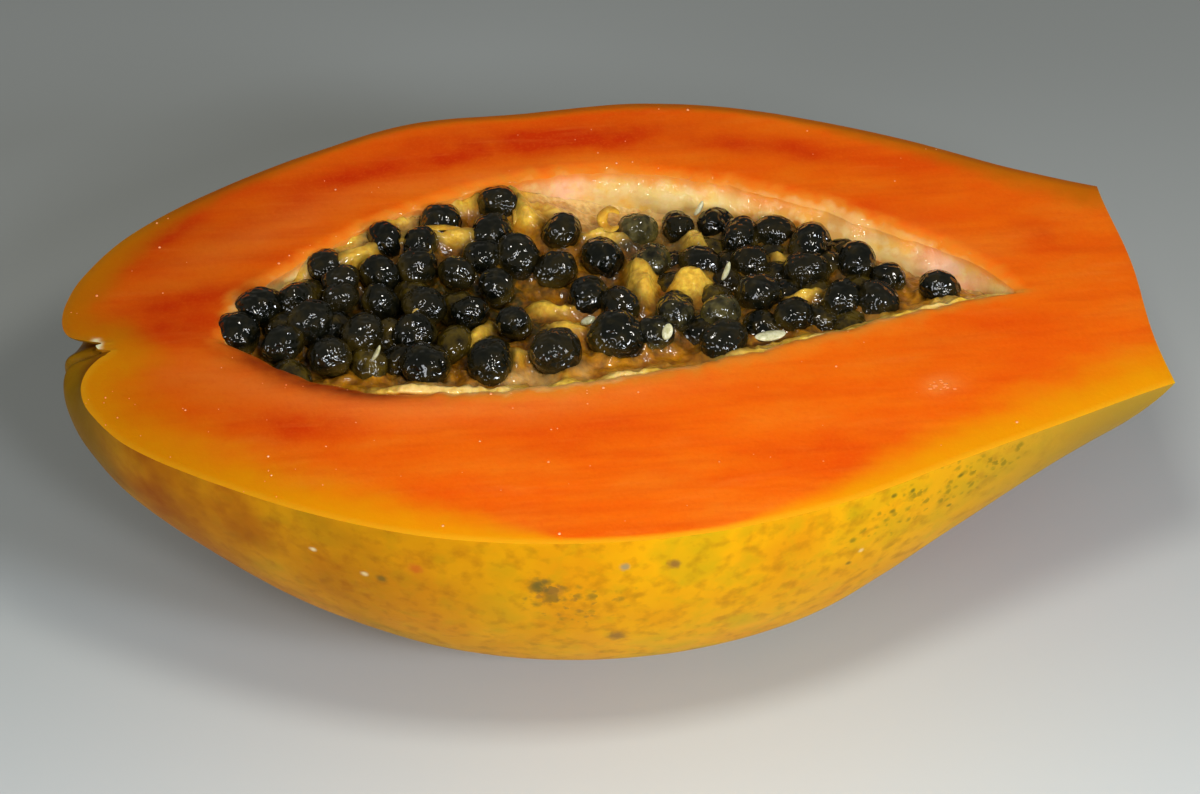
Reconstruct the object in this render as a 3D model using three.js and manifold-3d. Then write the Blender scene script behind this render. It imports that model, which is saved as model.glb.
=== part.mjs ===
// Half a ripe papaya, cut lengthwise and resting on its rounded back, cut face up and level.
// Units are millimetres. X runs from the puckered blossom end to the sliced neck, Y to the back, Z up.
// The origin is at the centre of the bottom of the bounding box.
import * as THREE from 'three';
import { LoftGeometry } from 'three/addons/geometries/LoftGeometry.js';
import { mergeVertices } from 'three/addons/utils/BufferGeometryUtils.js';
import Module from 'manifold-3d';

// The whole fruit, as cross-sections from the flower's scar in the blossom pucker to past the neck.
// Each row holds: distance from the blossom end, reach to the back, reach to the front, depth.
const FRUIT = [
	[ 4.8, 0.4, 0.4, 0.4 ],
	[ 5.6, 0.9, 0.9, 0.9 ],
	[ 3.4, 1.6, 1.6, 1.6 ],
	[ 0.9, 2.9, 2.8, 2.6 ],
	[ 0.0, 6.0, 5.6, 5.4 ],
	[ 0.7, 10.6, 9.8, 9.6 ],
	[ 3.2, 16.4, 14.8, 15.0 ],
	[ 9.2, 24.4, 22.2, 22.0 ],
	[ 20.0, 33.0, 30.0, 31.0 ],
	[ 35.0, 41.4, 38.4, 40.5 ],
	[ 52.0, 48.2, 44.6, 47.4 ],
	[ 70.0, 49.3, 47.2, 50.4 ],
	[ 88.0, 50.2, 46.7, 50.3 ],
	[ 106.0, 46.4, 42.6, 45.6 ],
	[ 125.0, 38.3, 34.8, 32.8 ],
	[ 142.0, 28.8, 27.8, 19.8 ],
	[ 156.0, 22.4, 22.2, 12.6 ],
	[ 168.0, 19.0, 18.6, 9.4 ],
];
const FRUIT_RINGS = 51;
const FRUIT_SIDES = 60;
const CENTRE = 78.1; // middle of the length, from the blossom end
const CUT_HEIGHT = 50; // the level cut face; the back is a little deeper and is flattened where it rests

// Five carpels meet at the blossom end and leave five grooves, which fade out along the fruit.
const LOBES = 5;
const GROOVE_DEPTH = 4.8;
const GROOVE_REACH = 9; // radius at which a groove is half as deep
const NAVEL_RADIUS = 1.5; // the grooves run together inside it
const GROOVE_END = 60; // distance along the fruit at which the last of it is gone
const BODY_RIDGE = 0.01; // the same five carpels as low swellings of the body

// The knife takes the stem off with a slanting cut.
const NECK_END = 155.2; // from the blossom end
const NECK_SLANT = THREE.MathUtils.degToRad( 45 );
const NECK_YAW = THREE.MathUtils.degToRad( 2.6 );

// The seed cavity, in the same rows as the fruit. It lies nearer to the back than to the front.
const CAVITY = [
	[ 23.0, 0.8, 0.2, 0.6 ],
	[ 27.0, 9.2, 3.0, 6.0 ],
	[ 35.0, 17.4, 8.4, 13.5 ],
	[ 47.0, 25.6, 12.2, 21.5 ],
	[ 62.0, 31.6, 14.2, 27.0 ],
	[ 77.0, 34.4, 13.2, 29.0 ],
	[ 92.0, 32.0, 10.8, 27.0 ],
	[ 109.0, 24.6, 6.4, 20.5 ],
	[ 125.0, 13.8, 2.0, 11.5 ],
	[ 133.0, 7.6, 0.4, 6.0 ],
	[ 137.5, 1.2, 0.2, 0.8 ],
];
const CAVITY_RINGS = 31;
const CAVITY_SIDES = 36;
const CAVITY_RIDGE = 0.05; // the five seed-bearing ribs of the wall
const HEAP_GAP = 0.35; // between the heap of seeds and the wall
const LEAST_REACH = 0.2; // of the smallest cross-section

// The heap: soft pulp with the seeds half sunk in it, nearly up to the cut face.
const PULP_LEVEL = - 3.4; // below the cut face
const PULP_FALL = 0.11; // how much lower it lies for each millimetre to the back of the neck half
const FALL_START = 55; // along the fruit
const FALL_END = 90;
const PULP_WAVE = 0.6;
const WAVE_ALONG = 6.5;
const WAVE_ACROSS = 5.5;
const WAVE_SKEW = 17;
const PULP_GRID = [ 26, 12, 1 ];
const SEED = { length: 7.5, width: 6.6, height: 6.2 };
const SEED_SPREAD = 0.12; // how much seeds differ in size
const SEED_RISE = 1.5; // centre of a seed above the pulp
const SEED_JITTER = 0.25;
const SEED_TILT = 0.3; // radians either way
const SEED_FACES = [ 7, 4 ]; // segments round and along a seed
const FIRST_DRAW = 20;
const DRAW_FACTOR = 16807;
const DRAW_MODULUS = 2147483647;

// Strings of seeds, each along its own strand from one point to another with a bow to the side.
// Each row holds: first x and y, last x and y, bow, number of seeds, their size as a share of SEED.
const STRINGS = [
	[ 25.2, 4.3, 37.8, - 3.2, - 0.4, 3, 0.86 ],
	[ 28.0, 8.8, 50.1, 1.8, - 2.4, 4, 0.9 ],
	[ 33.6, 9.6, 64.6, 1.7, 2.8, 6, 0.87 ],
	[ 40.3, 13.3, 62.9, 10.6, 3.4, 5, 0.87 ],
	[ 38.3, 18.0, 64.5, 30.0, 0.4, 4, 0.83 ],
	[ 52.4, 20.4, 73.4, 23.6, 1.2, 3, 0.9 ],
	[ 61.3, 17.7, 71.8, 14.8, 1.6, 3, 0.94 ],
	[ 76.1, 8.0, 84.6, - 1.8, 1.6, 3, 0.92 ],
	[ 79.0, 17.0, 100.6, 14.6, - 0.6, 4, 0.97 ],
	[ 51.3, - 5.9, 79.1, - 2.8, - 2.0, 4, 1.08 ],
	[ 85.0, 25.1, 97.0, 26.0, 0.6, 3, 0.88 ],
	[ 99.8, 21.2, 110.0, 17.2, 2.6, 3, 0.92 ],
	[ 100.6, 5.0, 116.2, 12.1, 2.2, 3, 0.94 ],
	[ 87.8, 1.7, 94.6, 1.2, 0, 2, 0.96 ],
	[ 94.5, - 5.0, 104.7, 0.2, 0, 2, 0.97 ],
	[ 112.7, 3.6, 118.0, 2.4, 0, 2, 0.88 ],
	[ 119.9, 8.0, 127.4, 4.8, 0, 2, 0.78 ],
];

const MERGE_DISTANCE = 1e-4;
const KNIFE_SIZE = 3 * NECK_END;
const PULP_BLOCK = { length: 0.9 * NECK_END, width: 75, height: CUT_HEIGHT };

const wasm = await Module();
wasm.setup();

const back = Math.max( ...FRUIT.map( ( row ) => row[ 1 ] ) );
const front = Math.max( ...FRUIT.map( ( row ) => row[ 2 ] ) );
const blossomEnd = - CENTRE;
const middleLine = ( front - back ) / 2;

// Numbers between 0 and 1 that come out the same each time.
function drawer( first ) {

	let state = first;
	return () => {

		state = ( state * DRAW_FACTOR ) % DRAW_MODULUS;
		return state / DRAW_MODULUS;

	};

}

// A smooth profile for each column of a table of cross-sections.
function profilesOf( rows ) {

	return [ 1, 2, 3 ].map( ( column ) => (
		new THREE.SplineCurve( rows.map( ( row ) => new THREE.Vector2( row[ 0 ], row[ column ] ) ) )
	) );

}

// How far the grooves pull a point of the skin in towards the neck.
function grooveAt( x, radius, angle ) {

	const between = 1 - Math.abs( Math.cos( LOBES * angle / 2 ) );
	const start = 1 - Math.exp( - ( ( radius / NAVEL_RADIUS ) ** 2 ) );
	const fade = Math.max( 0, 1 - x / GROOVE_END ) / ( 1 + ( radius / GROOVE_REACH ) ** 2 );
	return GROOVE_DEPTH * between * start * fade;

}

// A closed body through the cross-sections, the same above the cut as below it.
// Angle 0 is at the back edge of the cut face and half a turn is at its front edge.
function loft( rows, rings, sides, { ridge, grooved = false, shrink = 0 } ) {

	const profiles = profilesOf( rows );
	const sections = [];
	for ( let i = 0; i <= rings; i ++ ) {

		const [ atBack, atFront, atKeel ] = profiles.map( ( profile ) => profile.getPoint( i / rings ) );
		const half = Math.max( LEAST_REACH, ( atBack.y + atFront.y ) / 2 - shrink );
		const depth = Math.max( LEAST_REACH, atKeel.y - shrink );
		const inward = shrink * ( 1 - 2 * i / rings );
		const section = [];
		for ( let j = 0; j < sides; j ++ ) {

			const angle = 2 * Math.PI * ( j + 0.5 ) / sides;
			const swell = 1 + ridge * Math.abs( Math.sin( angle ) ) * Math.cos( LOBES * angle );
			const groove = grooved ? grooveAt( atBack.x, half, angle ) : 0;
			section.push( new THREE.Vector3(
				blossomEnd + atBack.x + inward + groove,
				middleLine + ( atBack.y - atFront.y ) / 2 + half * swell * Math.cos( angle ),
				CUT_HEIGHT + depth * swell * Math.sin( angle )
			) );

		}

		sections.push( section );

	}

	return new LoftGeometry( sections, { capStart: true, capEnd: true } );

}

// Turns a three.js geometry into a solid that can be cut and joined.
function solidOf( geometry ) {

	const bare = new THREE.BufferGeometry();
	bare.setAttribute( 'position', geometry.attributes.position );
	bare.setIndex( geometry.index );
	const merged = mergeVertices( bare, MERGE_DISTANCE );
	const corners = merged.index.array;
	const triangles = [];
	for ( let i = 0; i < corners.length; i += 3 ) {

		const [ a, b, c ] = corners.subarray( i, i + 3 );
		if ( a !== b && b !== c && c !== a ) triangles.push( a, b, c );

	}

	return new wasm.Manifold( new wasm.Mesh( {
		numProp: 3,
		vertProperties: merged.attributes.position.array,
		triVerts: new Uint32Array( triangles ),
	} ) );

}

// Turns a solid back into a geometry with flat faces.
function geometryOf( solid ) {

	const { vertProperties, triVerts } = solid.getMesh();
	const geometry = new THREE.BufferGeometry();
	geometry.setAttribute( 'position', new THREE.BufferAttribute( new Float32Array( vertProperties ), 3 ) );
	geometry.setIndex( new THREE.BufferAttribute( new Uint32Array( triVerts ), 1 ) );
	const flat = geometry.toNonIndexed();
	flat.computeVertexNormals();
	return flat;

}

// The largest body of a solid: sealed bubbles are filled and loose scraps dropped.
function largestOf( solid ) {

	return solid.decompose().reduce( ( a, b ) => ( b.volume() > a.volume() ? b : a ) );

}

// A block that a knife's stroke takes away, everything on the far side of its lower face.
function offcut( place, turn ) {

	const block = new THREE.BoxGeometry( KNIFE_SIZE, KNIFE_SIZE, KNIFE_SIZE );
	block.translate( 0, 0, KNIFE_SIZE / 2 );
	block.applyMatrix4( new THREE.Matrix4().makeRotationFromEuler( turn ) );
	block.translate( place.x, place.y, place.z );
	return solidOf( block );

}

// The lengthwise cut, the slanting neck cut and the small flat that it rests on.
function knifeCuts() {

	const level = new THREE.Vector3( 0, 0, CUT_HEIGHT );
	const neck = new THREE.Vector3( blossomEnd + NECK_END, middleLine, CUT_HEIGHT );
	const foot = new THREE.Vector3( 0, 0, 0 );
	return [
		offcut( level, new THREE.Euler( 0, 0, 0 ) ),
		offcut( neck, new THREE.Euler( 0, Math.PI / 2 + NECK_SLANT, NECK_YAW, 'ZYX' ) ),
		offcut( foot, new THREE.Euler( Math.PI, 0, 0 ) ),
	];

}

function papayaHalf() {

	let half = solidOf( loft( FRUIT, FRUIT_RINGS, FRUIT_SIDES, { ridge: BODY_RIDGE, grooved: true } ) );
	for ( const cut of knifeCuts() ) half = half.subtract( cut );
	const cavity = solidOf( loft( CAVITY, CAVITY_RINGS, CAVITY_SIDES, { ridge: CAVITY_RIDGE } ) );
	return largestOf( half.subtract( cavity ) );

}

// Height of the pulp's uneven top.
function pulpHeight( x, y ) {

	const along = x - blossomEnd;
	const across = y - middleLine;
	const skewed = across / WAVE_ACROSS + along / WAVE_SKEW;
	const wave = PULP_WAVE * Math.sin( along / WAVE_ALONG ) * Math.cos( skewed );
	const fall = PULP_FALL * Math.max( 0, across ) * THREE.MathUtils.smoothstep( along, FALL_START, FALL_END );
	return CUT_HEIGHT + PULP_LEVEL - fall + wave;

}

// The pulp as a block with an uneven top, wider than the cavity that it is then cut to.
function pulpBlock() {

	const { length, width, height } = PULP_BLOCK;
	const block = new THREE.BoxGeometry( length, width, height, ...PULP_GRID );
	const position = block.attributes.position;
	for ( let i = 0; i < position.count; i ++ ) {

		if ( position.getZ( i ) > 0 ) position.setZ( i, pulpHeight( position.getX( i ), position.getY( i ) ) );

	}

	return solidOf( block );

}

function seedSolid( { place, size }, draw ) {

	const seed = new THREE.SphereGeometry( 0.5, ...SEED_FACES );
	const scale = size * ( 1 + SEED_SPREAD * ( 2 * draw() - 1 ) );
	seed.scale( SEED.length * scale, SEED.width * scale, SEED.height * scale );
	const tilt = SEED_TILT * ( 2 * draw() - 1 );
	const turn = Math.PI * draw();
	seed.applyMatrix4( new THREE.Matrix4().makeRotationFromEuler( new THREE.Euler( tilt, tilt, turn, 'ZYX' ) ) );
	seed.translate( place.x, place.y, place.z );
	return solidOf( seed );

}

// The places and sizes of the seeds, string by string.
function seedPlaces( draw ) {

	const places = [];
	for ( const [ x0, y0, x1, y1, bow, count, size ] of STRINGS ) {

		for ( let i = 0; i < count; i ++ ) {

			const t = i / ( count - 1 );
			const x = blossomEnd + x0 + ( x1 - x0 ) * t + SEED_JITTER * ( 2 * draw() - 1 );
			const bowed = y0 + ( y1 - y0 ) * t + bow * Math.sin( Math.PI * t );
			const y = middleLine + bowed + SEED_JITTER * ( 2 * draw() - 1 );
			const z = pulpHeight( x, y ) + SEED_RISE + SEED_JITTER * ( 2 * draw() - 1 );
			places.push( { place: new THREE.Vector3( x, y, z ), size } );

		}

	}

	return places;

}

function seedHeap() {

	const draw = drawer( FIRST_DRAW );
	let heap = pulpBlock();
	for ( const seed of seedPlaces( draw ) ) heap = heap.add( seedSolid( seed, draw ) );
	const room = loft( CAVITY, CAVITY_RINGS, CAVITY_SIDES, { ridge: CAVITY_RIDGE, shrink: HEAP_GAP } );
	return largestOf( heap.intersect( solidOf( room ) ) );

}

function namedMesh( name, solid, material ) {

	const mesh = new THREE.Mesh( geometryOf( solid ), material );
	mesh.name = name;
	return mesh;

}

const flesh = new THREE.MeshStandardMaterial( { color: 0xe8742c, roughness: 0.45, metalness: 0 } );
const seedCoat = new THREE.MeshStandardMaterial( { color: 0x1c1d1a, roughness: 0.25, metalness: 0 } );

const papaya = new THREE.Group();
papaya.add( namedMesh( 'papaya_half', papayaHalf(), flesh ) );
papaya.add( namedMesh( 'seed_heap', seedHeap(), seedCoat ) );

export default papaya;
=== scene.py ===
import math
from functools import partial

import bmesh
import bpy
import numpy as np
from mathutils import Euler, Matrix, Vector, kdtree, noise


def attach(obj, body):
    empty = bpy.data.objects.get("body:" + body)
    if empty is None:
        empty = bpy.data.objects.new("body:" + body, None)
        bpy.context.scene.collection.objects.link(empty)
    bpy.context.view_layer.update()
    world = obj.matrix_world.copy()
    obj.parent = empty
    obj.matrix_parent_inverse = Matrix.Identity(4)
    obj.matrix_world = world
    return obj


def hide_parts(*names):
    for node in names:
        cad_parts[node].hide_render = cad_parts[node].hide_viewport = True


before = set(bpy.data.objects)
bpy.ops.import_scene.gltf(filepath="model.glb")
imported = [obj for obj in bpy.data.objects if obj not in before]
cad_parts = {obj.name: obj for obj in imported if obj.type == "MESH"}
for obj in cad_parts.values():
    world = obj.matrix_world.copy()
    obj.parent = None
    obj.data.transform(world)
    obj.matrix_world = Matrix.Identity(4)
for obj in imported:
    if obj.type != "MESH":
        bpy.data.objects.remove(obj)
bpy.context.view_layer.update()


# ---- Flesh and rind ------------------------------------------------------------------------------
# Half of a ripe papaya, flesh and rind grown as one piece, split lengthwise with a long knife.
# A slanting second cut took the neck off. The seed cavity lies open in the cut face.

MM = 0.001

# Cross-sections of the whole fruit from the flower's scar to past the neck, in millimetres.
# Each row holds: distance from the blossom end, reach to the back, reach to the front, depth.
FRUIT = np.array([
    [4.8, 0.4, 0.4, 0.4], [5.6, 0.9, 0.9, 0.9], [3.4, 1.6, 1.6, 1.6], [0.9, 2.9, 2.8, 2.6],
    [0, 6, 5.6, 5.4], [0.7, 10.6, 9.8, 9.6], [3.2, 16.4, 14.8, 15], [9.2, 24.4, 22.2, 22],
    [20, 33, 30, 31], [35, 41.4, 38.4, 40.5], [52, 48.2, 44.6, 47.4], [70, 49.3, 47.2, 50.4],
    [88, 50.2, 46.7, 50.3], [106, 46.4, 42.6, 45.6], [125, 38.3, 34.8, 32.8], [142, 28.8, 27.8, 19.8],
    [156, 22.4, 22.2, 12.6], [168, 19, 18.6, 9.4],
])
CAVITY = np.array([
    [23, 0.8, 0.2, 0.6], [27, 9.2, 3, 6], [35, 17.4, 8.4, 13.5], [47, 25.6, 12.2, 21.5],
    [62, 31.6, 14.2, 27], [77, 34.4, 13.2, 29], [92, 32, 10.8, 27], [109, 24.6, 6.4, 20.5],
    [125, 13.8, 2, 11.5], [133, 7.6, 0.4, 6], [137.5, 1.2, 0.2, 0.8],
])
CENTRE = 78.1  # middle of the length, from the blossom end
MIDDLE_LINE = (FRUIT[:, 2].max() - FRUIT[:, 1].max()) / 2
CUT_HEIGHT = 50.0
LEAST_REACH = 0.2

LOBES = 5
BODY_RIDGE = 0.01
CAVITY_RIDGE = 0.05
GROOVE_DEPTH = 4.8
GROOVE_REACH = 9.0
GROOVE_END = 60.0
NAVEL_RADIUS = 1.5

NECK_END = 155.2
NECK_YAW = math.radians(2.6)
KNIFE_WOBBLE = 0.4  # of the edge that the neck cut leaves
SEARCH_START = 0.75  # the skin meets the cut after this share of its length
SEARCH_HALVINGS = 40

SKIN_STEPS = 250  # along the fruit
SKIN_SIDES = 136  # from the back edge round below to the front edge
CUT_STEPS = 44  # from the rind to the cavity
NECK_STEPS = 14
WALL_SIDES = 60

# Bumps in layers. Each row holds their size and height in millimetres and a seed.
SKIN_BUMPS = [(17.0, 0.16, 0.0), (5.0, 0.05, 3.0)]
CUT_BUMPS = [(13.0, 0.18, 6.0), (3.5, 0.05, 2.0)]
WALL_BUMPS = [(4.4, 0.45, 9.0), (1.7, 0.3, 4.0)]
RIM_BUMPS = [(4.6, 0.9, 2.0), (1.7, 0.54, 5.0)]  # where pulp tore away along the rim
SEAM_BUMPS = [(2.4, 1.3, 12.0), (1.0, 0.6, 4.0)]


def xyz(x, y, z):
    """Points from three arrays or numbers, spread over one another."""
    return np.stack(np.broadcast_arrays(x, y, z), axis=-1)


def along_and_across(points):
    """How far points lie from the blossom end and from the middle line."""
    return points[..., 0] + CENTRE, points[..., 1] - MIDDLE_LINE


def along_curve(rows, t):
    """Points of a smooth curve through the rows, with t from 0 to 1."""
    last = len(rows) - 1
    place = last * np.clip(np.asarray(t, float), 0, 1)
    i = np.minimum(place.astype(int), last)
    w = (place - i)[..., None]
    p0, p1, p2, p3 = (rows[np.clip(i + k, 0, last)] for k in (-1, 0, 1, 2))
    v0 = (p2 - p0) / 2
    v1 = (p3 - p1) / 2
    return (2 * p1 - 2 * p2 + v0 + v1) * w**3 + (3 * p2 - 3 * p1 - 2 * v0 - v1) * w**2 + v0 * w + p1


def smooth_step(value, low, high):
    share = np.clip((value - low) / (high - low), 0, 1)
    return share * share * (3 - 2 * share)


def within(value, start, full, fade, end):
    """Rises from start to full and falls from fade to end."""
    return smooth_step(value, start, full) * (1 - smooth_step(value, fade, end))


def bell(value, middle, reach):
    return np.exp(-(((value - middle) / reach) ** 2))


def groove_at(x, radius, angle):
    """How far the five grooves of the blossom end pull the skin in."""
    between = 1 - np.abs(np.cos(LOBES * angle / 2))
    fade = np.clip(1 - x / GROOVE_END, 0, None) / (1 + (radius / GROOVE_REACH) ** 2)
    return GROOVE_DEPTH * between * (1 - bell(radius, 0, NAVEL_RADIUS)) * fade


def section_point(rows, t, angle, ridge, shrink=0.0, grooved=False):
    """A point of the skin or the cavity. Angle 0 is the back edge of the cut and pi its front edge."""
    x, to_back, to_front, deep = np.moveaxis(along_curve(rows, t), -1, 0)
    half = np.maximum(LEAST_REACH, (to_back + to_front) / 2 - shrink)
    depth = np.maximum(LEAST_REACH, deep - shrink)
    swell = 1 + ridge * np.abs(np.sin(angle)) * np.cos(LOBES * angle)
    groove = groove_at(x, half, angle) if grooved else 0.0
    return xyz(
        x + shrink * (1 - 2 * t) + groove - CENTRE,
        MIDDLE_LINE + (to_back - to_front) / 2 + half * swell * np.cos(angle),
        CUT_HEIGHT - depth * swell * np.sin(angle),
    )


def behind_knife(point):
    """How far a point lies past the neck cut, along the fruit."""
    along, across = along_and_across(point)
    wobble = KNIFE_WOBBLE * np.sin(across / 5.5 + 0.6)
    plane = NECK_END - across * math.tan(NECK_YAW) + (point[..., 2] - CUT_HEIGHT) / math.cos(NECK_YAW)
    return along - plane - wobble


def skin_end(angle):
    """The t at which each line along the skin meets the neck cut."""
    low = np.full_like(angle, SEARCH_START)
    high = np.ones_like(angle)
    for _ in range(SEARCH_HALVINGS):
        middle = (low + high) / 2
        past = behind_knife(section_point(FRUIT, middle, angle, BODY_RIDGE)) > 0
        high = np.where(past, middle, high)
        low = np.where(past, low, middle)
    return low


def relief(points, scale, seed=0.0):
    """Smooth noise between -1 and 1 at each point; scale is the size of its bumps in millimetres."""
    shift = Vector((seed, seed, seed))
    values = np.array([noise.noise(Vector(p) / scale + shift) for p in points.reshape(-1, 3)])
    return values.reshape(points.shape[:-1])


def bumps(points, layers):
    return sum(height * relief(points, size, seed) for size, height, seed in layers)


def patches(places, x, y):
    """How much each point lies in soft long patches: x, y, half length, half width, turn, strength."""
    total = np.zeros_like(x)
    for place_x, place_y, length, width, turn, strength in places:
        c, s = math.cos(math.radians(turn)), math.sin(math.radians(turn))
        u = ((x - place_x) * c + (y - place_y) * s) / length
        v = ((y - place_y) * c - (x - place_x) * s) / width
        total += strength * np.exp(-u * u - v * v)
    return total


def build_piece(name, grids, materials, soft_angle=180):
    """A closed mesh from grids of points, welded where they meet.

    Each grid is (points in millimetres, material number, {field name: values}).
    """
    points, faces, slots, fields = [], [], [], {}
    names = sorted({key for grid in grids for key in grid[2]})
    count = 0
    for places, material, values in grids:
        rows, columns = places.shape[:2]
        corner = count + np.arange(rows - 1)[:, None] * columns + np.arange(columns - 1)
        around = [corner, corner + 1, corner + columns + 1, corner + columns]
        faces.append(np.stack(around, axis=-1).reshape(-1, 4))
        slots.append(np.full(len(faces[-1]), material))
        points.append(places.reshape(-1, 3))
        for key in names:
            fields.setdefault(key, []).append(np.broadcast_to(values.get(key, 0.0), (rows, columns)).ravel())
        count += rows * columns
    points, faces, slots = np.concatenate(points), np.concatenate(faces), np.concatenate(slots)
    welded = np.round(points * 1000).astype(int)
    _, kept, same = np.unique(welded, axis=0, return_index=True, return_inverse=True)
    same = same.ravel()
    polygons, polygon_slots = [], []
    for corners, material in zip(same[faces].tolist(), slots.tolist()):
        ring = [c for i, c in enumerate(corners) if c != corners[i - 1]]
        if len(ring) > 2 and len(set(ring)) == len(ring):
            polygons.append(ring)
            polygon_slots.append(material)
    mesh = bpy.data.meshes.new(name)
    mesh.from_pydata((points[kept] * MM).tolist(), [], polygons)
    mesh.polygons.foreach_set("material_index", polygon_slots)
    for key in names:
        value = np.full(len(kept), -1e9)
        np.maximum.at(value, same, np.concatenate(fields[key]))
        mesh.attributes.new(key, "FLOAT", "POINT").data.foreach_set("value", value.astype(np.float32))
    solid = bmesh.new()
    solid.from_mesh(mesh)
    bmesh.ops.recalc_face_normals(solid, faces=solid.faces)
    solid.to_mesh(mesh)
    solid.free()
    mesh.shade_smooth()
    mesh.set_sharp_from_angle(angle=math.radians(soft_angle))
    for material in materials:
        mesh.materials.append(material)
    piece = bpy.data.objects.new(name, mesh)
    bpy.context.scene.collection.objects.link(piece)
    return piece


def to_linear(code):
    """An sRGB hex colour as linear red, green, blue and alpha."""
    parts = [int(code[i:i + 2], 16) / 255 for i in (1, 3, 5)]
    return [p / 12.92 if p <= 0.04045 else ((p + 0.055) / 1.055) ** 2.4 for p in parts] + [1.0]


MIX_SOCKETS = (0, 6, 7)  # factor and two colours of a Mix node


def add_node(tree, kind, inputs=(), stops=(), **settings):
    """A node with its settings. Inputs come by name, or as a list in the node's own order.

    Each is a value, a hex colour, a field's name, another node or one of its outputs.
    """
    made = tree.nodes.new("ShaderNode" + kind)
    if kind == "Mix":
        made.data_type = "RGBA"
    for name, value in settings.items():
        setattr(made, name, value)
    if not isinstance(inputs, dict):
        inputs = dict(zip(MIX_SOCKETS if kind == "Mix" else range(len(inputs)), inputs))
    for name, value in inputs.items():
        if isinstance(value, str) and not value.startswith("#"):
            value = add_node(tree, "Attribute", attribute_name=value).outputs["Fac"]
        if isinstance(value, bpy.types.Node):
            value = next(s for s in value.outputs if s.enabled)
        if isinstance(value, bpy.types.NodeSocket):
            tree.links.new(value, made.inputs[name])
        else:
            made.inputs[name].default_value = to_linear(value) if isinstance(value, str) else value
    for i, (place, colour) in enumerate(stops):
        ramp = made.color_ramp.elements
        stop = ramp[i] if i < len(ramp) else ramp.new(place)
        stop.position = place
        stop.color = to_linear(colour)
    return made


def new_material(name):
    """An empty material, the function that adds a node to it, and the place of each point."""
    material = bpy.data.materials.new(name)
    material.use_nodes = True
    material.node_tree.nodes.clear()
    add = partial(add_node, material.node_tree)
    return material, add, add("TexCoord").outputs["Object"]


def grain(place, size, detail=2.0):
    """Inputs of a noise whose blotches are about this many millimetres across."""
    return {"Vector": place, "Scale": 1 / (size * MM), "Detail": detail}


def tinted(add, colour, tint, amount, share=1.0):
    """The colour, turned to a tint by an amount times a share."""
    factor = add("Math", [amount, share], operation="MULTIPLY", use_clamp=True)
    return add("Mix", [factor, colour, tint])


FLAT = np.array([1, 1, 0])


def tip(row):
    """The point on the cut face where a row of points closes."""
    return row.mean(axis=0) * FLAT + [0, 0, CUT_HEIGHT]


# The skin, from the flower's scar to the neck cut.
angle = np.linspace(0, math.pi, SKIN_SIDES + 1)
share = np.linspace(0, 1, SKIN_STEPS + 1)[:, None]
skin = section_point(FRUIT, share * skin_end(angle), angle, BODY_RIDGE, grooved=True)
settled = smooth_step(skin[..., 0] + CENTRE, 2, 12) * (1 - smooth_step(share, 0.9, 1.0))
skin += xyz(0, np.cos(angle), -np.sin(angle)) * (bumps(skin, SKIN_BUMPS) * settled)[..., None]
skin[0] = tip(skin[0])
skin[..., 2] = np.maximum(skin[..., 2], 0)

# The outline of the cut face, in two halves from the scar to the middle of the neck edge.
half_neck = SKIN_SIDES // 2
edge_share = np.linspace(0, 1, SKIN_SIDES + 1)[:, None]
neck_edge = skin[-1, 0] * (1 - edge_share) + skin[-1, -1] * edge_share
neck_edge[:, 0] -= behind_knife(neck_edge)
back_outline = np.concatenate([skin[:, 0], neck_edge[1:half_neck + 1]])
front_outline = np.concatenate([skin[:, -1], neck_edge[half_neck:-1][::-1]])


def run_length(points):
    steps = np.linalg.norm(np.diff(points, axis=0), axis=1)
    return np.concatenate([[0], np.cumsum(steps)]) / steps.sum()


fine_t = np.linspace(0, 1, 2000)
cavity_rim = section_point(CAVITY, fine_t, 0, CAVITY_RIDGE)
outline_run = (run_length(back_outline) + run_length(front_outline)) / 2
cavity_t = np.interp(outline_run, run_length(cavity_rim), fine_t)

# The wall of the cavity. Its lip is rounded over, most where the knife dragged at the front left.
LIP_DROP = 0.7
LIP_SAG = 1.7
LIP_WIDTH = 2.2
SAG_WIDTH = 3.4
SAG_PLACE = (42.0, 13.0)  # middle and half length
BACK_SAG = 0.6  # at the back the lining curls over the rim towards the neck
BACK_SAG_PLACE = (116.0, 15.0)
BACK_LEAN = 2.8  # and the wall below slants inwards there
BACK_LEAN_PLACE = (110.0, 22.0)
LEAN_DEPTHS = (0, 3.4, 5, 13)  # it grows to full and fades between these depths
TORN_STRETCH = (24, 32, 126, 136)  # the rim is ragged between these places
TORN_DEPTH = 6.0
wall_angle = math.pi * (1 - np.cos(np.linspace(0, math.pi, WALL_SIDES + 1))) / 2
wall = section_point(CAVITY, cavity_t[:, None], wall_angle, CAVITY_RIDGE)
wall[0] = tip(wall[0])
wall[-1] = tip(wall[-1])


def lip_drop(x, is_front):
    sag = LIP_SAG * bell(x, *SAG_PLACE) * is_front + BACK_SAG * bell(x, *BACK_SAG_PLACE) * (1 - is_front)
    return LIP_DROP * (1 - 0.5 * is_front) + sag


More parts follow.
